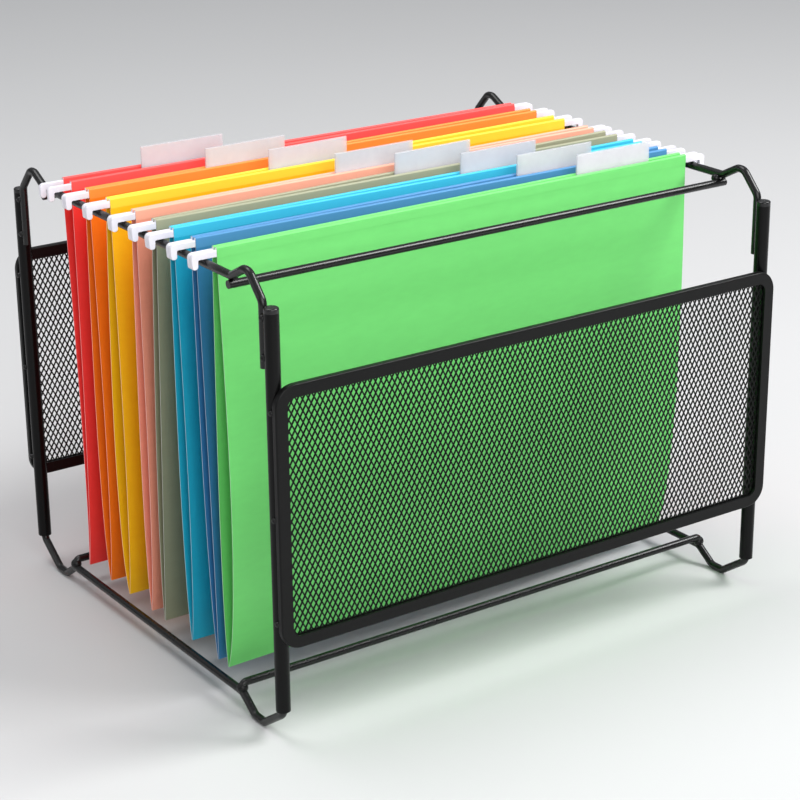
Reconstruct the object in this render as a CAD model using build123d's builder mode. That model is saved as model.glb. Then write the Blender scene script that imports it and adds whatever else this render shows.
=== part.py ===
# Desktop hanging file frame with eight hanging folders.
# A wire and tube frame carries two mesh end panels. Eight hanging folders ride on its
# two side rails by the hooks at the ends of their hanger bars.
# Millimetres. X runs along the folders, -Y is the front, +Z is up.
# The origin is on the table, under the middle of the frame.
import os
from math import atan2, cos, pi, sin, sqrt

from build123d import *

os.makedirs("parts", exist_ok=True)

# Folder card
card_w = 318.0
card_h = 240.6
card_t = 0.4
card_above_table = 14.5
crease_gap = 0.15
bow_skew = 0.66
card_stations = (0.0, 0.08, 0.2, 0.35, 0.5, 0.68, 0.85, 1.0)

# Hanger bar, its hem and its hooks
bar_t = 1.2
bar_h = 4.5
bar_fit = 0.15
hem_wall = 0.4
hem_round = 0.9
hem_step = 0.1
hook_t = 2.4
hook_w = 3.9
hook_taper = 0.5
hook_arm_h = 3.5
hook_drop = 4.8
hook_play = 2.8
hook_clear = 0.35
hook_corner_r = 2.4
hook_tip_r = 1.55
hook_notch_r = 0.8

# Index tab and its paper label
tab_w = 54.0
tab_rise = 11.0
tab_below_hem = 3.0
tab_wall = 0.4
tab_slit = 0.6
tab_hem_gap = 0.1
tab_first_in = 76.5
tab_step = 27.0
label_t = 0.3
label_margin = 2.4
label_seat = 0.1
tongue_spacing = 27.0
tongue_w = 6.0
tongue_t = 1.2
tongue_out = 0.8
tongue_fit = 0.2

# Row of folders, rear to front
folder_pitch = 24.0
row_end_room = 56.0

# Steel wire and its bends
wire_d = 4.5
wire_bend_r = 6.0
weld_film = 0.05

# Corner posts
post_od = 8.0
post_bottom_z = 18.0
post_top_below_rail = 7.5
wire_fit = 0.15
cap_head_h = 2.7
cap_stem_h = 8.0
cap_fit = 0.1
cap_edge_r = 0.9

# Side rails that carry the hooks
card_edge_to_rail = 6.0
rail_outside_post = 1.0
hump_rise = 6.5
hump_start_in = 35.5
hump_crest_in = 23.0
hump_fall_in = 18.0
leg_bend_above_post = 1.5
leg_tail_len = 33.0

# Cross bars under the rails and above the base wires
top_bar_in = 36.0
top_bar_overhang = 2.0
base_bar_in = 42.0
base_bar_lift = 5.1
base_bar_bend_r = 2.6

# Base wires with their feet
base_wire_z = 11.0
foot_slope_in = 41.5
foot_inner_in = 29.0
foot_outer_in = 19.5
post_entry_drop = 2.3
wire_in_post = 25.0

# Mesh end panels
rim_h = 145.0
rim_band = 7.0
rim_t = 4.0
rim_corner_r = 12.0
rim_edge_r = 1.0
rim_below_post_top = 39.5
groove_depth = 3.8
mesh_t = 0.9
mesh_fit = 0.1
mesh_edge_gap = 0.3
mesh_columns = 24
mesh_rows = 6
mesh_strand = 2.2

# Weld beads
seat_bead_r = 1.7
seat_bead_out = 3.4
seat_bead_forward = 2.9
seat_bead_heights = (0.1, 0.5, 0.9)
leg_bead_r = 1.9
leg_bead_side = 2.3
leg_bead_drops = (6.0, 27.0)
cross_bead_r = 2.6
cross_bead_side = 2.6
cross_bead_in = 2.6
base_bead_r = 3.2

# Levels and places that follow from the sizes above
hem_t = bar_t + 2 * (bar_fit + hem_wall)
hem_h = bar_h + 2 * (bar_fit + hem_wall)
card_top_z = card_above_table + card_h
hem_mid_z = card_top_z - hem_h / 2
hem_bottom_z = card_top_z - hem_h
bar_bottom_z = hem_mid_z - bar_h / 2
rail_z = bar_bottom_z - hook_clear - wire_d / 2
rail_x = card_w / 2 + card_edge_to_rail
post_x = rail_x - rail_outside_post
post_top_z = rail_z - post_top_below_rail
post_bore = wire_d + 2 * wire_fit
hook_inner_x = rail_x + wire_d / 2 + hook_play
hook_tip_x = hook_inner_x + hook_w


class Folder:
    """How one folder hangs. Each size is a distance along Y, but tab_shift is along X."""

    def __init__(self, name, drift, turn, gaps, crease_shift, crease_turn, bows, tab_shift):
        self.name = name
        self.drift = drift  # front bar's middle, ahead or behind its even place in the row
        self.turn = turn  # how much further back the front bar's right end lies than its left
        self.gap_left, self.gap_right = gaps  # from front bar to rear bar at each end
        self.crease_shift = crease_shift  # middle of the crease behind the front bar's middle
        self.crease_turn = crease_turn
        self.bow_front, self.bow_rear = bows
        self.tab_shift = tab_shift


folders = [
    Folder("red", 0.9, 3.3, (9.8, 3.2), 4.8, 0.0, (3.0, -3.0), 0.0),
    Folder("orange", 2.7, 2.0, (3.2, 6.2), 0.5, 2.0, (3.5, 5.0), 0.6),
    Folder("yellow", 0.0, -1.4, (3.4, 10.6), 3.7, 1.5, (3.0, 7.0), 1.5),
    Folder("pink", -4.9, -0.6, (3.0, 5.6), 4.7, 0.0, (3.0, 3.5), 0.0),
    Folder("khaki", -3.5, 0.0, (3.15, 10.9), 10.8, -1.5, (0.0, 3.5), 0.6),
    Folder("cyan", -0.7, -4.6, (3.0, 8.5), 0.4, -2.5, (3.5, 3.5), 3.7),
    Folder("blue", 0.8, -3.5, (3.0, 7.8), -0.2, 9.0, (1.0, 3.5), -0.2),
    Folder("green", 5.6, 1.3, (2.85, 5.0), 8.4, 10.0, (7.6, 3.0), -0.1),
]

row_length = folder_pitch * (len(folders) - 1)
post_y = row_length / 2 + row_end_room
leg_y = post_y - sqrt((post_od / 2 + wire_d / 2 + weld_film) ** 2 - rail_outside_post ** 2)
top_bar_y = post_y - top_bar_in
base_bar_y = post_y - base_bar_in

front, rear = -1, 1
ends = {"front": front, "rear": rear}
sides = {"left": -1, "right": 1}
corners = [(side, end) for side in sides.values() for end in ends.values()]


def keep(piece, label):
    """Label a finished piece and write it to its own file."""
    piece.part.label = label
    export_step(piece.part, f"parts/{label}.step")
    return piece


def bent_wire(points, plane):
    """A round wire along straight runs joined by equal bends, drawn in a plane."""
    with BuildPart() as wire:
        with BuildLine(plane) as route:
            FilletPolyline(*points, radius=wire_bend_r)
        with BuildSketch(Plane(origin=route.line @ 0, z_dir=route.line % 0)):
            Circle(wire_d / 2)
        sweep(path=route.line)
    return wire


def bead(center, facing, radius):
    """A ball of weld metal, with its seam on the side that faces away from the weld."""
    with Locations(Plane(origin=center, x_dir=facing, z_dir=(0, 0, 1))):
        Sphere(radius)


def there_and_back(half):
    """Continue a half route given for the front end to its mirror image at the rear."""
    return half + [(-y, z) for y, z in reversed(half)]


# Corner posts, open tubes
posts = {}
for side_name, side in sides.items():
    for end_name, end in ends.items():
        with BuildPart() as post:
            with BuildSketch(Plane(origin=(side * post_x, end * post_y, post_bottom_z))):
                Circle(post_od / 2)
                Circle(post_bore / 2, mode=Mode.SUBTRACT)
            extrude(amount=post_top_z - cap_head_h - post_bottom_z)
        posts[side, end] = keep(post, f"{end_name}_{side_name}_post")

# Plastic caps that plug the tops of the posts
with BuildPart() as post_caps:
    for side, end in corners:
        with BuildSketch(Plane(origin=(side * post_x, end * post_y, post_top_z - cap_head_h))):
            Circle(post_od / 2)
        extrude(amount=cap_head_h)
        with BuildSketch(Plane(origin=(side * post_x, end * post_y, post_top_z - cap_head_h))):
            Circle(post_bore / 2 - cap_fit)
        extrude(amount=-cap_stem_h)
    fillet(post_caps.edges().filter_by(GeomType.CIRCLE).group_by(Axis.Z)[-1], cap_edge_r)
keep(post_caps, "post_caps")

# Side rails: flat where the hooks ride, a hump at each end, then down inside the post
leg_bend_z = post_top_z + leg_bend_above_post
rail_half = [
    (-leg_y, post_top_z - leg_tail_len),
    (-leg_y, leg_bend_z),
    (-(post_y - hump_fall_in), rail_z + hump_rise),
    (-(post_y - hump_crest_in), rail_z + hump_rise),
    (-(post_y - hump_start_in), rail_z),
]
rails = {}
for side_name, side in sides.items():
    rail = bent_wire(there_and_back(rail_half), Plane.YZ.offset(side * rail_x))
    rails[side] = keep(rail, f"{side_name}_top_rail")

# Cross bars under the rails, straight
top_bars = {}
top_bar_z = rail_z - wire_d - weld_film
for end_name, end in ends.items():
    with BuildPart() as top_bar:
        with BuildSketch(Plane(origin=(0, end * top_bar_y, top_bar_z), z_dir=(1, 0, 0))):
            Circle(wire_d / 2)
        extrude(amount=rail_x + top_bar_overhang, both=True)
    top_bars[end] = keep(top_bar, f"{end_name}_top_bar")

# Base wires: up into the posts at both ends, with a foot bent down beside each post
post_entry_z = post_bottom_z - post_entry_drop
base_half = [
    (-post_y, post_bottom_z + wire_in_post),
    (-post_y, post_entry_z),
    (-(post_y - foot_outer_in), wire_d / 2),
    (-(post_y - foot_inner_in), wire_d / 2),
    (-(post_y - foot_slope_in), base_wire_z),
]
base_wires = {}
for side_name, side in sides.items():
    base_wire = bent_wire(there_and_back(base_half), Plane.YZ.offset(side * post_x))
    base_wires[side] = keep(base_wire, f"{side_name}_base_wire")

# Cross bars of the base, with ends turned down onto the base wires
base_bars = {}
base_bar_z = base_wire_z + base_bar_lift
base_bar_end_z = base_wire_z + wire_d / 2 + weld_film
for end_name, end in ends.items():
    with BuildPart() as base_bar:
        with BuildLine(Plane(origin=(0, end * base_bar_y, 0), x_dir=(1, 0, 0), z_dir=(0, -1, 0))) as route:
            FilletPolyline(
                (-post_x, base_bar_end_z),
                (-post_x, base_bar_z),
                (post_x, base_bar_z),
                (post_x, base_bar_end_z),
                radius=base_bar_bend_r,
            )
        with BuildSketch(Plane(origin=route.line @ 0, z_dir=route.line % 0)):
            Circle(wire_d / 2)
        sweep(path=route.line)
    base_bars[end] = keep(base_bar, f"{end_name}_base_bar")

# End panels: a rim with a groove all round its inside, and the mesh sheet held in it
rim_w = 2 * post_x + post_od
rim_top_z = post_top_z - rim_below_post_top
rim_mid_z = rim_top_z - rim_h / 2
rim_mid_y = post_y + post_od / 2 + weld_film + rim_t / 2
window_w = rim_w - 2 * rim_band
window_h = rim_h - 2 * rim_band
window_r = rim_corner_r - rim_band
groove_r = window_r + groove_depth
sheet_w = window_w + 2 * (groove_depth - mesh_edge_gap)
sheet_h = window_h + 2 * (groove_depth - mesh_edge_gap)
cell_w = window_w / mesh_columns
cell_h = window_h / mesh_rows
gap_w = cell_w - mesh_strand
gap_h = cell_h - mesh_strand * cell_h / cell_w

with BuildSketch() as mesh_gaps:
    for columns, rows in ((mesh_columns, mesh_rows), (mesh_columns - 1, mesh_rows - 1)):
        with GridLocations(cell_w, cell_h, columns, rows):
            Polygon((gap_w / 2, 0), (0, gap_h / 2), (-gap_w / 2, 0), (0, -gap_h / 2))

rims = {}
for end_name, end in ends.items():
    panel_plane = Plane(origin=(0, end * rim_mid_y, rim_mid_z), x_dir=(1, 0, 0), z_dir=(0, -1, 0))
    with BuildPart() as rim:
        with BuildSketch(panel_plane):
            RectangleRounded(rim_w, rim_h, rim_corner_r)
        extrude(amount=rim_t / 2, both=True)
        fillet(rim.faces().filter_by(Axis.Y).edges(), rim_edge_r)
        with BuildSketch(panel_plane):
            RectangleRounded(window_w, window_h, window_r)
        extrude(amount=rim_t / 2, both=True, mode=Mode.SUBTRACT)
        with BuildSketch(panel_plane):
            RectangleRounded(window_w + 2 * groove_depth, window_h + 2 * groove_depth, groove_r)
        extrude(amount=mesh_t / 2 + mesh_fit, both=True, mode=Mode.SUBTRACT)
    rims[end] = keep(rim, f"{end_name}_rim")

    with BuildPart() as mesh:
        with BuildSketch(panel_plane.offset(-mesh_t / 2)):
            RectangleRounded(sheet_w, sheet_h, groove_r - mesh_edge_gap)
            add(mesh_gaps.sketch, mode=Mode.SUBTRACT)
        extrude(amount=mesh_t)
    keep(mesh, f"{end_name}_mesh")

# Weld beads where each rim sits on its posts
with BuildPart() as rim_welds:
    for side, end in corners:
        for share in seat_bead_heights:
            bead_x = side * (post_x + seat_bead_out)
            bead_y = end * (post_y + seat_bead_forward)
            bead((bead_x, bead_y, rim_top_z - rim_h * share), (side, 0, 0), seat_bead_r)
    for piece in [*posts.values(), *rims.values()]:
        add(piece.part, mode=Mode.SUBTRACT)
keep(rim_welds, "rim_welds")

# Weld beads of the rails: two down each leg, and one at each cross bar
with BuildPart() as rail_welds:
    for side, end in corners:
        for drop in leg_bead_drops:
            bead_x = side * ((rail_x + post_x) / 2 + leg_bead_side)
            bead_y = end * (leg_y + wire_d / 2)
            bead((bead_x, bead_y, post_top_z - drop), (side, 0, 0), leg_bead_r)
        bead_x = side * (rail_x - cross_bead_side)
        bead_y = end * (top_bar_y - cross_bead_in)
        bead((bead_x, bead_y, (rail_z + top_bar_z) / 2), (-side, -end, 0), cross_bead_r)
    for piece in [*posts.values(), *rails.values(), *top_bars.values()]:
        add(piece.part, mode=Mode.SUBTRACT)
keep(rail_welds, "rail_welds")

# Weld beads round the turned-down ends of the base bars
with BuildPart() as base_welds:
    for side, end in corners:
        bead((side * post_x, end * base_bar_y, base_bar_end_z), (side, 0, 0), base_bead_r)
    for piece in [*base_wires.values(), *base_bars.values()]:
        add(piece.part, mode=Mode.SUBTRACT)
keep(base_welds, "base_welds")


# Folders
def bow_share(height):
    """How much of the bow a card has at a share of its height, most of it low down."""
    return sin(pi * height ** bow_skew)


def bar_plane_at(y, skew):
    """A level plane at mid height of a hanger bar, turned to lie along the bar."""
    return Plane(origin=(0, y, hem_mid_z), x_dir=(cos(skew), sin(skew), 0), z_dir=(0, 0, 1))


def seen_from_front(bar_plane, back=0.0):
    """An upright plane along a bar, a given way behind its middle."""
    origin = bar_plane.origin + bar_plane.y_dir * back
    return Plane(origin=origin, x_dir=bar_plane.x_dir, z_dir=-bar_plane.y_dir)


def seen_from_end(bar_plane, along=0.0):
    """An upright plane across a bar, a given way along it from its middle."""
    origin = bar_plane.origin + bar_plane.x_dir * along
    return Plane(origin=origin, x_dir=bar_plane.y_dir, z_dir=bar_plane.x_dir)


def hung_panel(crease_y, crease_skew, bar_y, skew, outward, bow, tab_x=None):
    """The folded hem that holds a bar, and the card panel below it down to the crease."""
    bar_plane = bar_plane_at(bar_y, skew)
    layer_at_crease = crease_gap + card_t / 2
    layer_at_hem = (hem_t - card_t) / 2 - hem_step
    card_end_z = hem_bottom_z + hem_wall / 2
    with BuildPart() as panel:
        with BuildSketch(seen_from_end(bar_plane)):
            RectangleRounded(hem_t, hem_h, hem_round)
            with Locations((outward * hem_t / 4, -hem_h / 4)):
                Rectangle(hem_t / 2, hem_h / 2)
            Rectangle(bar_t + 2 * bar_fit, bar_h + 2 * bar_fit, mode=Mode.SUBTRACT)
        extrude(amount=card_w / 2, both=True)
        for height in card_stations:
            z = card_above_table + (card_end_z - card_above_table) * height
            y = crease_y + (bar_y - crease_y) * height + outward * bow * bow_share(height)
            turn = crease_skew * (1 - height) + skew * height
            layer = layer_at_crease * (1 - height) + layer_at_hem * height
            level = Plane(origin=(0, y, z), x_dir=(cos(turn), sin(turn), 0), z_dir=(0, 0, 1))
            with BuildSketch(level):
                with Locations((0, outward * layer)):
                    Rectangle(card_w, card_t)
        loft()
        if tab_x is not None:
            with BuildSketch(seen_from_front(bar_plane)):
                with Locations(*tongue_places(tab_x)):
                    Rectangle(tongue_w + 2 * tongue_fit, tongue_t + 2 * tongue_fit)
            extrude(amount=-hem_t, mode=Mode.SUBTRACT)
    return panel


def hanger_bar(bar_y, skew):
    """A flat plastic bar in the hem, with a thick hook turned down at each end."""
    front_view = seen_from_front(bar_plane_at(bar_y, skew))
    hook_start_x = card_w / 2 + bar_fit
    arm_top_z = -bar_h / 2 + hook_arm_h
    hook_end_z = -bar_h / 2 - hook_drop
    with BuildPart() as hanger:
        with BuildSketch(front_view):
            Rectangle(2 * hook_start_x, bar_h)
        extrude(amount=bar_t / 2, both=True)
        with BuildSketch(front_view):
            with BuildLine():
                FilletPolyline(
                    (hook_start_x, arm_top_z),
                    (hook_tip_x, arm_top_z),
                    (hook_tip_x - hook_taper, hook_end_z),
                    (hook_inner_x, hook_end_z),
                    (hook_inner_x, -bar_h / 2),
                    (hook_start_x, -bar_h / 2),
                    radius=(hook_corner_r, hook_tip_r, hook_tip_r, hook_notch_r),
                )
                Line((hook_start_x, -bar_h / 2), (hook_start_x, arm_top_z))
            make_face()
            mirror(about=Plane.YZ)
        extrude(amount=hook_t / 2, both=True)
    return hanger


# Levels of a tab and its tongues, counted from the middle of the bar
tab_t = 2 * tab_wall + tab_slit
tab_mid_y = -(hem_t / 2 + tab_hem_gap + tab_t / 2)
tab_top = hem_h / 2 + tab_rise
tab_bottom = -hem_h / 2 - tab_below_hem
slit_top = tab_top - tab_wall
slit_bottom = tab_bottom + tongue_t
tongue_start_y = tab_mid_y + tab_slit / 2
tongue_end_y = hem_t / 2 + tongue_out


def tongue_places(tab_x):
    """Where the two tongues of a tab go through the card, along the bar and up."""
    return [(tab_x + place * tongue_spacing / 2, tab_bottom + tongue_t / 2) for place in (-1, 1)]


def index_tab(bar_y, skew, tab_x):
    """A clear folded sleeve with two tongues, and the paper label inside it."""
    bar_plane = bar_plane_at(bar_y, skew)
    end_view = seen_from_end(bar_plane, tab_x)
    with BuildPart() as tab:
        with BuildSketch(end_view):
            with Locations((tab_mid_y, (tab_top + tab_bottom) / 2)):
                Rectangle(tab_t, tab_top - tab_bottom)
            with Locations((tab_mid_y, (slit_top + slit_bottom) / 2)):
                Rectangle(tab_slit, slit_top - slit_bottom, mode=Mode.SUBTRACT)
        extrude(amount=tab_w / 2, both=True)
        with BuildSketch(seen_from_front(bar_plane, tongue_start_y)):
            with Locations(*tongue_places(tab_x)):
                Rectangle(tongue_w, tongue_t)
        extrude(amount=tongue_start_y - tongue_end_y)
        with BuildSketch(end_view):
            with Locations((tab_mid_y, (slit_top + slit_bottom) / 2)):
                Rectangle(label_t, slit_top - slit_bottom - 2 * label_seat)
        extrude(amount=tab_w / 2 - label_margin, both=True)
    return tab


for number, folder in enumerate(folders):
    front_y = row_length / 2 - folder_pitch * number + folder.drift
    rear_y = front_y + (folder.gap_left + folder.gap_right) / 2
    front_skew = atan2(folder.turn, card_w)
    rear_skew = atan2(folder.turn + folder.gap_right - folder.gap_left, card_w)
    crease = (front_y + folder.crease_shift, atan2(folder.crease_turn, card_w))
    tab_x = tab_first_in - card_w / 2 + tab_step * number + folder.tab_shift

    front_panel = hung_panel(*crease, front_y, front_skew, front, folder.bow_front)
    rear_panel = hung_panel(*crease, rear_y, rear_skew, rear, folder.bow_rear, tab_x)
    keep(front_panel, f"{folder.name}_front_panel")
    keep(rear_panel, f"{folder.name}_rear_panel")
    keep(hanger_bar(front_y, front_skew), f"{folder.name}_front_hanger")
    keep(hanger_bar(rear_y, rear_skew), f"{folder.name}_rear_hanger")
    keep(index_tab(rear_y, rear_skew, tab_x), f"{folder.name}_tab")
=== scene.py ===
# %% [markdown]
# # A desktop file frame with eight hanging folders
# The object is a black steel frame with a mesh panel at each short way end. Eight coloured
# card folders hang in it by white hooks, and each folder has a clear tab with a blank label.
# The measured shapes come from a CAD model. This script gives them their looks: finishes for
# steel, card, plastic and paper, a finer mesh, rounder hooks, clear tabs, light and a camera.
# Everything is in metres, X runs along the folders, -Y is the front and +Z is up.

import math

import bmesh
import bpy
from mathutils import Matrix, Vector


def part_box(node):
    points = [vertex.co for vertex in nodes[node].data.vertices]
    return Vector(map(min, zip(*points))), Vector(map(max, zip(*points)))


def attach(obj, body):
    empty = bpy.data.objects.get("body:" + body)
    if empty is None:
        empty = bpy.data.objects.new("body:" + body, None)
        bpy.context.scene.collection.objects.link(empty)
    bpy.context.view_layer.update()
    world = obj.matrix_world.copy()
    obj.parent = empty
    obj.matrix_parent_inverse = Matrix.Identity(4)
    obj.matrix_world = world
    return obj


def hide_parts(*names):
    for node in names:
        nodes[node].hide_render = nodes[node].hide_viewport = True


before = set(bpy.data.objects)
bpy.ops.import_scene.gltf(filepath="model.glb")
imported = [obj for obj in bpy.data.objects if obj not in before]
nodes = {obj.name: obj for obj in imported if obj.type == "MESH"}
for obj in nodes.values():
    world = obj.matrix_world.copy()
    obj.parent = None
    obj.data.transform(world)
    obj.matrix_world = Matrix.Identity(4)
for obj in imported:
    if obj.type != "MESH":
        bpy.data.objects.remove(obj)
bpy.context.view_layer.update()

# %% [markdown]
# ## The folders
# Each folder is one sheet of card dyed in one strong colour. A colour here is linear light from
# 0 to 1, which is what Blender's shaders take. The gloss of the card adds some white to it in
# the picture, so these colours are a little deeper than they look there.

# %% Name the folders, from the rear of the frame to the front
folder_colours = {
    "red": (1.0, 0.055, 0.05),
    "orange": (1.0, 0.205, 0.01),
    "yellow": (1.0, 0.56, 0.008),
    "pink": (0.95, 0.35, 0.24),
    "khaki": (0.29, 0.29, 0.185),
    "cyan": (0.015, 0.43, 0.61),
    "blue": (0.037, 0.2, 0.43),
    "green": (0.165, 0.67, 0.165),
}
mm = 0.001
print("folders:", ", ".join(folder_colours))

# %% [markdown]
# ## The camera
# The picture was taken from the front left, a little above the top of the folders. The
# camera is placed on a ball round a point near the middle of the frame: a turn round the
# object, a height angle and a distance. A small roll levels it as in the picture. It stands
# far off with a long lens, so the far end of the frame looks nearly as tall as the near one.

# %% Place the camera
camera_turn = math.radians(-34.564)
camera_height = math.radians(20.538)
camera_roll = math.radians(-0.547)
camera_distance = 1.307785
camera_target = Vector((0, -0.012313, 0.11663))
picture_pixels = 800
focal_pixels = 2207.98
sensor_width_mm = 36
view_limit = 50

back = Vector((
    math.sin(camera_turn) * math.cos(camera_height),
    -math.cos(camera_turn) * math.cos(camera_height),
    math.sin(camera_height),
))
level_right = Vector((math.cos(camera_turn), math.sin(camera_turn), 0))
level_up = back.cross(level_right)
right = level_right * math.cos(camera_roll) + level_up * math.sin(camera_roll)
up = level_up * math.cos(camera_roll) - level_right * math.sin(camera_roll)

lens = bpy.data.cameras.new("camera")
lens.sensor_width = sensor_width_mm
lens.lens = sensor_width_mm * focal_pixels / picture_pixels
lens.clip_end = view_limit
camera = bpy.data.objects.new("camera", lens)
turned = Matrix((right, up, back)).transposed().to_4x4()
camera.matrix_world = Matrix.Translation(camera_target + back * camera_distance) @ turned
bpy.context.collection.objects.link(camera)
bpy.context.scene.camera = camera
print("camera stands at", tuple(round(v, 3) for v in camera.matrix_world.translation))

# %% [markdown]
# ## A shorthand for materials
# A finish is a small graph of shader nodes. Wiring nodes one by one is long to read, so two
# small classes do it here. `Wire` is one output of a node, and a sum written on it adds the
# Math nodes.

# %% A wire is one output of a node
class Wire:
    """One output of a shader node. A sum on it adds Math nodes to its material."""

    def __init__(self, finish, socket):
        self.finish = finish
        self.socket = socket

    def math(self, operation, *values):
        return self.finish.add("ShaderNodeMath", {"operation": operation}, dict(enumerate(values)))

    def __add__(self, other):
        return self.math("ADD", self, other)

    def __radd__(self, other):
        return self.math("ADD", other, self)

    def __sub__(self, other):
        return self.math("SUBTRACT", self, other)

    def __rsub__(self, other):
        return self.math("SUBTRACT", other, self)

    def __mul__(self, other):
        return self.math("MULTIPLY", self, other)

    def __rmul__(self, other):
        return self.math("MULTIPLY", other, self)

    def __abs__(self):
        return self.math("ABSOLUTE", self)


# %% [markdown]
# ## One material, one finish
# `Finish` is a material round Blender's all-round surface shader. Its `add` method makes any
# node from its type, its settings and the values of its sockets. The shorter methods make the
# few patterns that the finishes below share: a cloudy noise, a ramp, a mix of two colours and
# a bump. `drive` lets a pattern feed one input of the shader.

# %% A finish is one material made of nodes
class Finish:
    """A material made of nodes, round one glossy or matt surface shader."""

    def __init__(self, name, **surface):
        self.material = bpy.data.materials.new(name)
        self.material.use_nodes = True
        self.tree = self.material.node_tree
        self.shader = self.tree.nodes["Principled BSDF"]
        self.place = self.add("ShaderNodeTexCoord", {}, {}, "Object")
        for name, value in surface.items():
            socket = name.replace("_", " ").title().replace("Ior", "IOR")
            self.shader.inputs[socket].default_value = value

    def add(self, kind, settings, inputs, output=0):
        """Make a node, set it up, fill its sockets and give back one of its outputs."""
        node = self.tree.nodes.new(kind)
        for name, value in settings.items():
            setattr(node, name, value)
        for socket, value in inputs.items():
            self.fill(node.inputs[socket], value)
        return Wire(self, node.outputs[output])

    def fill(self, socket, value):
        if isinstance(value, Wire):
            self.tree.links.new(value.socket, socket)
        else:
            socket.default_value = value

    def noise(self, grains_per_metre, detail, stretch=(1, 1, 1)):
        """A cloudy pattern with a number of grains in each metre of the object."""
        place = self.add("ShaderNodeMapping", {}, {"Vector": self.place, "Scale": stretch})
        sockets = {"Vector": place, "Scale": grains_per_metre, "Detail": detail}
        return self.add("ShaderNodeTexNoise", {}, sockets, "Fac")

    def ramp(self, wire, low, high):
        """0 below low, 1 above high, and a smooth climb between them."""
        sockets = {"Value": wire, "From Min": low, "From Max": high}
        return self.add("ShaderNodeMapRange", {"interpolation_type": "SMOOTHSTEP"}, sockets)

    def mix(self, share, first, second):
        """One colour where share is 0 and the other where it is 1."""
        sockets = {0: share, 6: first, 7: second}
        return self.add("ShaderNodeMix", {"data_type": "RGBA"}, sockets, 2)

    def drive(self, socket, wire):
        """Let a number or colour that changes over the surface feed the shader."""
        self.tree.links.new(wire.socket, self.shader.inputs[socket])

    def bump(self, height, depth):
        """Raise the surface by depth metres where the height pattern is 1."""
        sockets = {"Height": height, "Distance": depth, "Strength": 1.0}
        self.drive("Normal", self.add("ShaderNodeBump", {}, sockets))


def rgba(colour, level=1.0):
    """A colour with its alpha, made brighter or darker by a level."""
    return tuple(min(1.0, c * level) for c in colour) + (1.0,)


# %% [markdown]
# ## Black powder coat
# The tube, the wire, the rims and the mesh are steel under one black powder coat. Powder
# melts into a hard satin skin with a very fine orange peel. So the finish is nearly black,
# with a fine bump, and a roughness that wanders a little and keeps the highlights alive.
# The coat lies a bit differently on each kind of steel: thin wire shines the most, the tubes
# of the posts look deeper black, and the rough welds break the light up. One function takes
# these differences as numbers, so the five finishes stay one family.

# %% Make the finishes of the steel
roughness_spread = 0.16
speck_brightness = 2.2
speck_start, speck_full = 0.62, 0.75


def powder_coat(name, black, gloss, roughness, depth):
    finish = Finish(name, specular_ior_level=gloss)
    peel = finish.noise(1500, 2.0)
    cloud = finish.noise(60, 4.0)
    finish.drive("Roughness", roughness + (cloud - 0.5) * roughness_spread)
    speck = finish.ramp(finish.noise(900, 5.0), speck_start, speck_full)
    grey = (black,) * 3
    finish.drive("Base Color", finish.mix(speck, rgba(grey), rgba(grey, speck_brightness)))
    finish.bump(peel, depth)
    return finish.material


tube_finish = powder_coat("powder_coat_tube", black=0.0025, gloss=0.16, roughness=0.24, depth=0.01 * mm)
wire_finish = powder_coat("powder_coat_wire", black=0.004, gloss=0.42, roughness=0.27, depth=0.006 * mm)
rim_finish = powder_coat("powder_coat_rim", black=0.005, gloss=0.16, roughness=0.36, depth=0.02 * mm)
mesh_finish = powder_coat("powder_coat_mesh", black=0.002, gloss=0.16, roughness=0.36, depth=0.005 * mm)
weld_finish = powder_coat("powder_coat_weld", black=0.004, gloss=0.3, roughness=0.26, depth=0.2 * mm)
steel_finishes = (tube_finish, wire_finish, rim_finish, mesh_finish, weld_finish)
print("steel finishes:", ", ".join(finish.name for finish in steel_finishes))

# %% [markdown]
# ## Moulded plastic
# The caps of the posts are black plastic and the hooks are white plastic with a faint lilac
# cast. Both come out of polished moulds, so their skin is finer than that of powder coat. A
# slow change of roughness keeps them from looking like one flat colour.

# %% Make the finishes of the plastics
cloud_dark, cloud_light = 0.96, 1.03
mould_bump = 0.003 * mm


def moulded_plastic(name, colour, roughness):
    finish = Finish(name, specular_ior_level=0.5)
    dark, light = rgba(colour, cloud_dark), rgba(colour, cloud_light)
    finish.drive("Base Color", finish.mix(finish.noise(90, 3.0), dark, light))
    finish.drive("Roughness", roughness + (finish.noise(220, 3.0) - 0.5) * roughness_spread)
    finish.bump(finish.noise(700, 2.0), mould_bump)
    return finish.material


cap_finish = moulded_plastic("black_cap_plastic", (0.003, 0.003, 0.0033), roughness=0.26)
hook_finish = moulded_plastic("white_hook_plastic", (0.82, 0.8, 0.87), roughness=0.34)
print("plastic finishes:", cap_finish.name, hook_finish.name)
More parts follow.
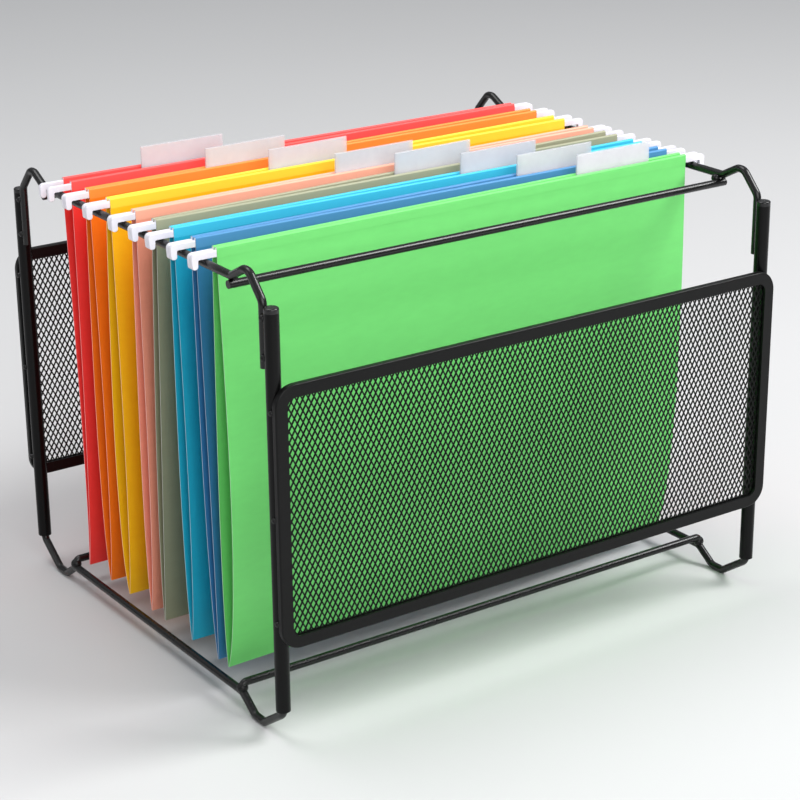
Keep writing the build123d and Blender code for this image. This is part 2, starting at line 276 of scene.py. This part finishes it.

# %% [markdown]
# ## Dyed card
# A hanging folder is one sheet of heavy dyed card. Its faces are smooth, with faint fibres
# along the sheet and a slight waviness. Its cut edges are paler than its faces, and they
# draw a fine light line down the end of each panel. The pattern finds the cut edges by the
# direction in which the surface faces: only a cut edge faces left or right. The hem along
# the top is folded and glued, and it is painted a little paler than the card below. This
# paler hem is a painted sheen: it stands for the white gloss that the lit top edges show.
# Its place is known from the height above the table, so no painted mask is needed. The
# green folder in front gets only a trace of this painted sheen on its hem.

# %% Make one card finish for each folder
card_gloss = 0.34
card_roughness, fibre_roughness, edge_roughness = 0.46, 0.2, 0.25
card_relief, fibre_relief, wave_relief = 0.06 * mm, 0.25, 6.0
fibre_dark, fibre_light = 0.93, 1.07
wave_share, wave_dark = 0.35, 0.9
along_the_sheet = (0.35, 1, 1)
edge_paleness = 0.45
# Painted sheen on the hem: how much of it each folder gets, and how much paler it makes the dye
full_hem_sheen, slight_hem_sheen = 1.0, 0.15
hem_sheen_gain, hem_sheen_lift = 1.2, 0.035
hem_height = 5.6 * mm
card_top = max(vertex.co.z for vertex in nodes["green_front_panel"].data.vertices)
hem_bottom = card_top - hem_height
hem_start, hem_full = hem_bottom - 0.6 * mm, hem_bottom + 0.3 * mm


def card_colour(finish, colour, hem_sheen, fibre, wave, cut_edge):
    """The dye with its fibres and waves, the painted sheen on the hem and the pale cut edges."""
    body = finish.mix(fibre, rgba(colour, fibre_dark), rgba(colour, fibre_light))
    body = finish.mix(wave * wave_share, body, rgba(colour, wave_dark))
    up = finish.add("ShaderNodeSeparateXYZ", {}, {0: finish.place}, "Z")
    hem = finish.ramp(up, hem_start, hem_full)
    # A paler copy of the dye, painted on the hem as sheen
    hem_sheen_colour = tuple(min(1.0, c * hem_sheen_gain + hem_sheen_lift) for c in colour)
    body = finish.mix(hem * hem_sheen, body, rgba(hem_sheen_colour))
    pale = tuple(c + (1 - c) * edge_paleness for c in colour)
    return finish.mix(cut_edge, body, rgba(pale))


def dyed_card(name, colour, hem_sheen):
    finish = Finish(name, specular_ior_level=card_gloss)
    fibre = finish.noise(260, 5.0, stretch=along_the_sheet)
    wave = finish.noise(14, 3.0)
    facing = finish.add("ShaderNodeTexCoord", {}, {}, "Normal")
    sideways = finish.add("ShaderNodeSeparateXYZ", {}, {0: facing}, "X")
    cut_edge = finish.ramp(abs(sideways), 0.6, 0.9)
    finish.drive("Base Color", card_colour(finish, colour, hem_sheen, fibre, wave, cut_edge))
    roughness = card_roughness + (fibre - 0.5) * fibre_roughness
    finish.drive("Roughness", roughness + cut_edge * edge_roughness)
    finish.bump(fibre * fibre_relief + wave * wave_relief, card_relief)
    return finish.material


card_finishes = {}
for name, colour in folder_colours.items():
    # The green folder in front gets only a trace of the painted sheen on its hem
    hem_sheen = slight_hem_sheen if name == "green" else full_hem_sheen
    card_finishes[name] = dyed_card(f"{name}_card", colour, hem_sheen)
print("card finishes:", len(card_finishes))

# %% [markdown]
# ## Clear tabs and paper labels
# Each tab is a folded strip of clear film over a white paper label. Film this thin doesn't
# bend light much, so refraction would cost time and show nothing. It is a see-through
# glossy skin instead, and a haze that comes and goes keeps it from looking like glass.

# %% Make the finishes of the tabs and labels
film_tint = rgba((0.82, 0.82, 0.86))
film_roughness, haze_roughness = 0.1, 0.14
film_alpha, haze_alpha = 0.36, 0.1
film_relief = 0.05 * mm
paper_grey, paper_white = rgba((0.86, 0.85, 0.86)), rgba((0.93, 0.92, 0.93))
paper_relief = 0.02 * mm


def clear_film(name):
    finish = Finish(name, base_color=film_tint, specular_ior_level=0.6)
    haze = finish.noise(120, 3.0)
    finish.drive("Roughness", film_roughness + haze * haze_roughness)
    finish.drive("Alpha", film_alpha + haze * haze_alpha)
    finish.bump(finish.noise(45, 2.0), film_relief)
    return finish.material


def label_paper(name):
    finish = Finish(name, roughness=0.7, specular_ior_level=0.25)
    fibre = finish.noise(900, 5.0)
    finish.drive("Base Color", finish.mix(fibre, paper_grey, paper_white))
    finish.bump(fibre, paper_relief)
    return finish.material


film_finish = clear_film("clear_tab_film")
paper_finish = label_paper("white_label_paper")
print("tab finishes:", film_finish.name, paper_finish.name)

# %% [markdown]
# ## Dress the measured parts
# Most of the measured parts already have their true shape: posts, caps, rails, bars, rims,
# welds and card panels. They only need their finish, so each gets it in its material slots.

# %% Give each measured part its finish
def paint(node_name, material):
    """Put one finish on a measured part."""
    mesh = nodes[node_name].data
    mesh.materials.clear()
    mesh.materials.append(material)


def finish_of(node_name):
    """The finish that a measured part has on the real object."""
    colour = node_name.split("_")[0]
    if node_name.endswith("_panel"):
        return card_finishes[colour]
    if node_name.endswith("_hanger"):
        return hook_finish
    if node_name.endswith("_tab"):
        return film_finish
    if node_name.endswith("_rim"):
        return rim_finish
    if node_name.endswith("_welds"):
        return weld_finish
    if node_name == "post_caps":
        return cap_finish
    if node_name.endswith("_post"):
        return tube_finish
    return wire_finish


for node_name in nodes:
    paint(node_name, finish_of(node_name))
print("painted", len(nodes), "measured parts")

# %% [markdown]
# ## The expanded metal mesh
# Expanded metal starts as a sheet with rows of short slits, and is pulled until each slit
# opens into a diamond. The strands between the diamonds are flat and lean over, the same way
# all over the sheet, and that lean makes a mesh glitter when it is lit.
#
# The measured model has only a coarse stand-in for it. A see-through picture of a mesh on a
# flat sheet would be quick to make, but it has no thickness and can't glitter. So a Geometry
# Nodes tree makes the true shape, and a small class keeps the wiring of that tree short.

# %% A small helper to wire a Geometry Nodes tree
class Tree:
    """A Geometry Nodes tree with named inputs."""

    def __init__(self, name, inputs):
        self.group = bpy.data.node_groups.new(name, "GeometryNodeTree")
        for label, kind in inputs.items():
            self.group.interface.new_socket(name=label, in_out="INPUT", socket_type=kind)
        self.group.interface.new_socket(name="Mesh", in_out="OUTPUT", socket_type="NodeSocketGeometry")
        self.inputs = self.group.nodes.new("NodeGroupInput").outputs

    def add(self, kind, settings, sockets, output=0):
        """Make a node, set it up, fill its sockets and give back one of its outputs."""
        node = self.group.nodes.new(kind)
        for name, value in settings.items():
            setattr(node, name, value)
        for socket, value in sockets.items():
            for part in value if isinstance(value, list) else [value]:
                self.fill(node.inputs[socket], part)
        return node.outputs[output]

    def fill(self, socket, value):
        if isinstance(value, bpy.types.NodeSocket):
            self.group.links.new(value, socket)
        else:
            socket.default_value = value

    def math(self, operation, first, second):
        return self.add("ShaderNodeMath", {"operation": operation}, {0: first, 1: second})

    def vector(self, x, y, z=0.0):
        return self.add("ShaderNodeCombineXYZ", {}, {0: x, 1: y, 2: z})

    def vector_math(self, operation, first, second=(0, 0, 0), output="Vector"):
        return self.add("ShaderNodeVectorMath", {"operation": operation}, {0: first, 1: second}, output)

    def end(self, geometry):
        self.group.links.new(geometry, self.group.nodes.new("NodeGroupOutput").inputs[0])


# %% [markdown]
# ## The inputs of the tree
# Both end panels have the same kind of sheet, so one tree draws both, and each measure of a
# sheet is an input of the tree. Its diamonds lie in two grids. The second lies half a diamond
# to the right of the first and half a diamond higher, so the sheet is a whole number of
# diamonds and a half each way, and that gives the size of one diamond.

# %% Start the tree and size one diamond
tree = Tree("expanded_metal", {
    "Middle": "NodeSocketVector",
    "Width": "NodeSocketFloat",
    "Height": "NodeSocketFloat",
    "Columns": "NodeSocketInt",
    "Rows": "NodeSocketInt",
    "Opening": "NodeSocketFloat",
    "Thickness": "NodeSocketFloat",
    "Lean": "NodeSocketFloat",
    "Corner": "NodeSocketFloat",
    "Finish": "NodeSocketMaterial",
})
given = tree.inputs
cell_width = tree.math("DIVIDE", given["Width"], tree.math("ADD", given["Columns"], 0.5))
cell_height = tree.math("DIVIDE", given["Height"], tree.math("ADD", given["Rows"], 0.5))
print("nodes that size a diamond:", len(tree.group.nodes))

# %% [markdown]
# ## One diamond
# A circle with four corners is a diamond. Its face is extruded without moving, which gives a
# second face on top of it. That face is shrunk, its top is brought forward and its bottom
# back, and then it is deleted. What is left is a thin ring whose strands lean.

# %% Hollow one diamond out to a leaning ring
half_width = tree.math("MULTIPLY", cell_width, 0.5)
half_height = tree.math("MULTIPLY", cell_height, 0.5)
half_size = tree.vector(half_width, half_height, 1.0)
diamond = tree.add("GeometryNodeMeshCircle", {"fill_type": "NGON"}, {"Vertices": 4, "Radius": 1.0})
diamond = tree.add("GeometryNodeTransform", {}, {"Geometry": diamond, "Scale": half_size})
doubled = {"Mesh": diamond, "Offset Scale": 0.0}
ring = tree.add("GeometryNodeExtrudeMesh", {"mode": "FACES"}, doubled)
inner_face = ring.node.outputs["Top"]
shrunk = {"Geometry": ring, "Selection": inner_face, "Scale": given["Opening"]}
ring = tree.add("GeometryNodeScaleElements", {"domain": "FACE"}, shrunk)
place_in_cell = tree.add("GeometryNodeInputPosition", {}, {})
height_in_cell = tree.add("ShaderNodeSeparateXYZ", {}, {0: place_in_cell}, "Y")
lean = tree.vector(0.0, 0.0, tree.math("MULTIPLY", height_in_cell, given["Lean"]))
leaning = {"Geometry": ring, "Selection": inner_face, "Offset": lean}
ring = tree.add("GeometryNodeSetPosition", {}, leaning)
opened = {"Geometry": ring, "Selection": inner_face}
ring = tree.add("GeometryNodeDeleteGeometry", {"domain": "FACE"}, opened)
print("nodes with the ring:", len(tree.group.nodes))

# %% [markdown]
# ## The places of the diamonds
# A real sheet is cut from a large one to fit the rim, and the rim has rounded corners. Here
# the points where diamonds go are made first, and those that a corner would cut away are left
# out, so no diamond sticks out of the rim.

# %% Set out two grids of places
grid = tree.add("GeometryNodeMeshGrid", {}, {
    "Size X": tree.math("MULTIPLY", cell_width, tree.math("SUBTRACT", given["Columns"], 1)),
    "Size Y": tree.math("MULTIPLY", cell_height, tree.math("SUBTRACT", given["Rows"], 1)),
    "Vertices X": given["Columns"],
    "Vertices Y": given["Rows"],
})
grids = []
for quarter in (-0.25, 0.25):
    across = tree.math("MULTIPLY", cell_width, quarter)
    upwards = tree.math("MULTIPLY", cell_height, quarter)
    moved = {"Geometry": grid, "Translation": tree.vector(across, upwards)}
    grids.append(tree.add("GeometryNodeTransform", {}, moved))
places = tree.add("GeometryNodeJoinGeometry", {}, {0: grids})
print("nodes with the grids:", len(tree.group.nodes))

# %% Leave out the places past the rounded corners
diamond_reach = 0.4

from_middle = tree.vector_math("ABSOLUTE", tree.add("GeometryNodeInputPosition", {}, {}))
corner_middle = tree.vector(
    tree.math("SUBTRACT", tree.math("MULTIPLY", given["Width"], 0.5), given["Corner"]),
    tree.math("SUBTRACT", tree.math("MULTIPLY", given["Height"], 0.5), given["Corner"]),
)
into_corner = tree.vector_math("MAXIMUM", tree.vector_math("SUBTRACT", from_middle, corner_middle))
distance = tree.vector_math("LENGTH", into_corner, output="Value")
limit = tree.math("SUBTRACT", given["Corner"], tree.math("MULTIPLY", cell_width, diamond_reach))
cut_away = {"Geometry": places, "Selection": tree.math("GREATER_THAN", distance, limit)}
places = tree.add("GeometryNodeDeleteGeometry", {"domain": "POINT"}, cut_away)
print("nodes with the corners:", len(tree.group.nodes))

# %% [markdown]
# ## One sheet
# Neighbouring diamonds share their sides, so a merge welds the rings into one net, and each
# strand is half of one ring and half of the next. The net is extruded to its thickness and
# closed with a flipped copy of itself at the back. Last it is stood upright in its place.

# %% Weld the rings into one sheet and stand it upright
weld_reach = 0.02 * mm

rings = tree.add("GeometryNodeInstanceOnPoints", {}, {"Points": places, "Instance": ring})
net = tree.add("GeometryNodeRealizeInstances", {}, {"Geometry": rings})
net = tree.add("GeometryNodeMergeByDistance", {}, {"Geometry": net, "Distance": weld_reach})
raised = {"Mesh": net, "Offset": tree.vector(0.0, 0.0, given["Thickness"]), "Individual": False}
face = tree.add("GeometryNodeExtrudeMesh", {"mode": "FACES"}, raised)
underside = tree.add("GeometryNodeFlipFaces", {}, {"Mesh": net})
sheet = tree.add("GeometryNodeJoinGeometry", {}, {0: [face, underside]})
sheet = tree.add("GeometryNodeMergeByDistance", {}, {"Geometry": sheet, "Distance": weld_reach})
upright = {"Geometry": sheet, "Rotation": (math.radians(90), 0, 0), "Translation": given["Middle"]}
sheet = tree.add("GeometryNodeTransform", {}, upright)
sheet = tree.add("GeometryNodeSetMaterial", {}, {"Geometry": sheet, "Material": given["Finish"]})
tree.end(sheet)
expanded_metal = tree.group
print("tree", expanded_metal.name, "has", len(expanded_metal.nodes), "nodes")

# %% [markdown]
# ## Fit the mesh into the rims
# Each sheet takes its place and size from the measured sheet that it stands for, which sits
# in a groove in its rim. The ring's opening is what is left of a diamond once half a strand
# is taken from each side. The tree runs once for each sheet and its result is kept as a plain
# mesh, which is lighter to handle than a tree that runs again at every change.

# %% Keep what a tree grows as a plain mesh
def grown_mesh(name, group, settings):
    """Run a Geometry Nodes tree once and keep its result as a plain mesh object."""
    seed = bpy.data.objects.new(f"{name}_seed", bpy.data.meshes.new(f"{name}_seed"))
    bpy.context.collection.objects.link(seed)
    modifier = seed.modifiers.new("grow", "NODES")
    modifier.node_group = group
    for item in group.interface.items_tree:
        if item.in_out == "INPUT":
            modifier[item.identifier] = settings[item.name]
    grown = seed.evaluated_get(bpy.context.evaluated_depsgraph_get())
    piece = bpy.data.objects.new(name, bpy.data.meshes.new_from_object(grown))
    bpy.data.objects.remove(seed)
    bpy.context.collection.objects.link(piece)
    return piece


# %% Make the two mesh sheets
mesh_columns = 97
mesh_rows = 22
strand = 0.86 * mm
mesh_thickness = 0.3 * mm
strand_lean = 0.06
groove_corner = 8.5 * mm


def mesh_sheet(end_name):
    """The fine mesh of one end panel, in the place of its coarse stand-in."""
    low, high = (Vector(corner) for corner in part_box(f"{end_name}_mesh"))
    size = high - low
    half_cell = Vector((size.x / (mesh_columns + 0.5) / 2, size.z / (mesh_rows + 0.5) / 2))
    # How far the middle of a diamond is from each of its sides
    side_distance = half_cell.x * half_cell.y / half_cell.length
    middle = (low + high) / 2 + Vector((0, mesh_thickness / 2, 0))
    sheet = grown_mesh(f"{end_name}_fine_mesh", expanded_metal, {
        "Middle": middle,
        "Width": size.x,
        "Height": size.z,
        "Columns": mesh_columns,
        "Rows": mesh_rows,
        "Opening": 1 - strand / 2 / side_distance,
        "Thickness": mesh_thickness,
        "Lean": strand_lean,
        "Corner": groove_corner,
        "Finish": mesh_finish,
    })
    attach(sheet, "frame")
    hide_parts(f"{end_name}_mesh")
    return sheet


for end_name in ("front", "rear"):
    sheet = mesh_sheet(end_name)
    print(sheet.name, "has", len(sheet.data.polygons), "faces")

# %% [markdown]
# ## Softer edges on the hooks and tabs
# Moulded plastic never has a sharp edge: a small round catches the light all along it. The
# measured hooks and tabs have sharp edges, so a copy of each gets them rounded. The copy is
# first merged, because a measured mesh is loose triangles, and its flat faces are joined so
# that only true edges are rounded.

# %% Copy a measured part with rounded edges
same_point = 0.002 * mm
flat_angle = math.radians(1)
sharp_angle = math.radians(35)
round_segments = 3


def merged_copy(node_name):
    """A measured part's shape as one joined mesh, with flat faces whole."""
    shape = bmesh.new()
    shape.from_mesh(nodes[node_name].data)
    bmesh.ops.remove_doubles(shape, verts=shape.verts, dist=same_point)
    bmesh.ops.dissolve_limit(shape, angle_limit=flat_angle, verts=shape.verts, edges=shape.edges)
    return shape


def rounded_piece(name, shape, radius, material):
    """Turn a shape into an object whose edges are rounded by a radius."""
    mesh = bpy.data.meshes.new(name)
    shape.to_mesh(mesh)
    shape.free()
    mesh.materials.clear()
    mesh.materials.append(material)
    piece = bpy.data.objects.new(name, mesh)
    bpy.context.collection.objects.link(piece)
    bevel = piece.modifiers.new("round", "BEVEL")
    bevel.width = radius
    bevel.segments = round_segments
    bevel.limit_method = "ANGLE"
    bevel.angle_limit = sharp_angle
    bevel.use_clamp_overlap = True
    return piece


# %% [markdown]
# ## The hanger bars
# Each hem holds a flat bar that ends in a hook on both sides. Only the hooks show, and they
# are the brightest small things in the picture, so their round edges matter. The bar of a
# front panel moves with the front when the folder opens, and the other stays with the back.

# %% Round the hanger bars and their hooks
hook_round = 0.55 * mm


def rounded_hanger(colour, side):
    node_name = f"{colour}_{side}_hanger"
    hanger = rounded_piece(f"{colour}_{side}_hooks", merged_copy(node_name), hook_round, hook_finish)
    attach(hanger, f"{colour}_{'front' if side == 'front' else 'back'}")
    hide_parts(node_name)


for colour in folder_colours:
    for side in ("front", "rear"):
        rounded_hanger(colour, side)
print("rounded hangers:", 2 * len(folder_colours))

# %% [markdown]
# ## The tabs
# A tab is one measured node with two separate parts: a folded sleeve of clear film, and a
# paper label inside it. They need different finishes, so each part becomes a piece of its
# own. The sleeve wraps the label, so it is the deeper of the two from front to rear, and that
# tells them apart.

# %% Take a measured part apart
def loose_parts(shape):
    """The faces of each separate part of a shape."""
    left = set(shape.faces)
    parts = []
    while left:
        part = []
        queue = [left.pop()]
        while queue:
            face = queue.pop()
            part.append(face)
            near = {other for edge in face.edges for other in edge.link_faces} & left
            left -= near
            queue.extend(near)
        parts.append(part)
    return parts


def part_of(node_name, number):
    """One separate part of a measured node, the deepest part first."""
    shape = merged_copy(node_name)
    parts = loose_parts(shape)

    def depth(faces):
        across = [vert.co.y for face in faces for vert in face.verts]
        return max(across) - min(across)

    parts.sort(key=depth, reverse=True)
    others = [face for part in parts if part is not parts[number] for face in part]
    bmesh.ops.delete(shape, geom=others, context="FACES")
    return shape


# %% Part each tab into its clear sleeve and its paper label
sleeve_round = 0.15 * mm
label_round = 0.05 * mm


def clear_tab(colour):
    node_name = f"{colour}_tab"
    sleeve = rounded_piece(f"{colour}_tab_sleeve", part_of(node_name, 0), sleeve_round, film_finish)
    label = rounded_piece(f"{colour}_tab_label", part_of(node_name, 1), label_round, paper_finish)
    for piece in (sleeve, label):
        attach(piece, f"{colour}_back")
        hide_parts(node_name)
    return sleeve, label


for colour in folder_colours:
    sleeve, label = clear_tab(colour)
    print(sleeve.name, len(sleeve.data.polygons), "faces,", label.name, len(label.data.polygons))

# %% [markdown]
# ## Floor and light
# The object stands on a plain pale floor in soft light. The floor is wide enough to fill the
# picture, and its light grey comes out nearly white under the lamps, while the shadow stays
# soft. The key lamp stands to the right of the camera and draws the highlights on the wires.
# A wider lamp in front fills the faces of the folders, one overhead lights their top edges,
# and a weak one at the left keeps the side wires readable.

# %% Lay the floor
floor_half = 6.0
floor_mesh = bpy.data.meshes.new("floor")
corners = [(x * floor_half, y * floor_half, 0) for x, y in ((-1, -1), (1, -1), (1, 1), (-1, 1))]
floor_mesh.from_pydata(corners, [], [(0, 1, 2, 3)])
floor = bpy.data.objects.new("floor", floor_mesh)
bpy.context.collection.objects.link(floor)

floor_finish = Finish("pale_floor", roughness=0.6, specular_ior_level=0.2)
floor_cloud = floor_finish.noise(1.2, 2.0)
floor_greys = rgba((0.57, 0.57, 0.57)), rgba((0.605, 0.605, 0.61))
floor_finish.drive("Base Color", floor_finish.mix(floor_cloud, *floor_greys))
floor_mesh.materials.append(floor_finish.material)
print("floor is", 2 * floor_half, "m wide")

# %% Hang the lamps
def soft_lamp(name, place, aim, width, power):
    """A round lamp of a width in metres and a power in watts, turned towards its aim."""
    lamp = bpy.data.lights.new(name, "AREA")
    lamp.shape = "DISK"
    lamp.size = width
    lamp.energy = power
    lamp_object = bpy.data.objects.new(name, lamp)
    lamp_object.location = place
    towards = Vector(aim) - Vector(place)
    lamp_object.rotation_euler = towards.to_track_quat("-Z", "Y").to_euler()
    bpy.context.collection.objects.link(lamp_object)


middle = (0, 0, 0.13)
soft_lamp("key_lamp", (1.25, -0.95, 1.75), middle, width=1.0, power=44)
soft_lamp("front_lamp", (-0.5, -2.0, 1.1), middle, width=1.8, power=26)
soft_lamp("top_lamp", (-0.4, 0.7, 2.4), middle, width=1.4, power=22)
soft_lamp("left_lamp", (-1.7, 0.5, 0.8), middle, width=1.0, power=3.5)
print("lamps:", len(bpy.data.lights))

# %% [markdown]
# ## Sky
# The room around the object is a sky that is darker at the horizon than overhead, as a room
# with a white ceiling is. An even sky would be simpler, but then the upright wires and posts
# would reflect a bright wall everywhere and look grey instead of black.

# %% Shade the sky from the horizon upwards
horizon_strength, zenith_strength = 0.18, 0.6
zenith_start = 0.9
sky_colour = (0.95, 0.97, 1.0, 1)
world = bpy.data.worlds.new("sky")
world.use_nodes = True
bpy.context.scene.world = world
sky_nodes = world.node_tree.nodes
direction = sky_nodes.new("ShaderNodeTexCoord").outputs["Generated"]
height_of = sky_nodes.new("ShaderNodeSeparateXYZ")
brightness = sky_nodes.new("ShaderNodeMapRange")
brightness.inputs["From Max"].default_value = zenith_start
brightness.inputs["To Min"].default_value = horizon_strength
brightness.inputs["To Max"].default_value = zenith_strength
world.node_tree.links.new(direction, height_of.inputs[0])
world.node_tree.links.new(height_of.outputs["Z"], brightness.inputs["Value"])
world.node_tree.links.new(brightness.outputs[0], sky_nodes["Background"].inputs["Strength"])
sky_nodes["Background"].inputs["Color"].default_value = sky_colour
bpy.context.scene.view_settings.view_transform = "Standard"
print("sky strength from", horizon_strength, "to", zenith_strength)
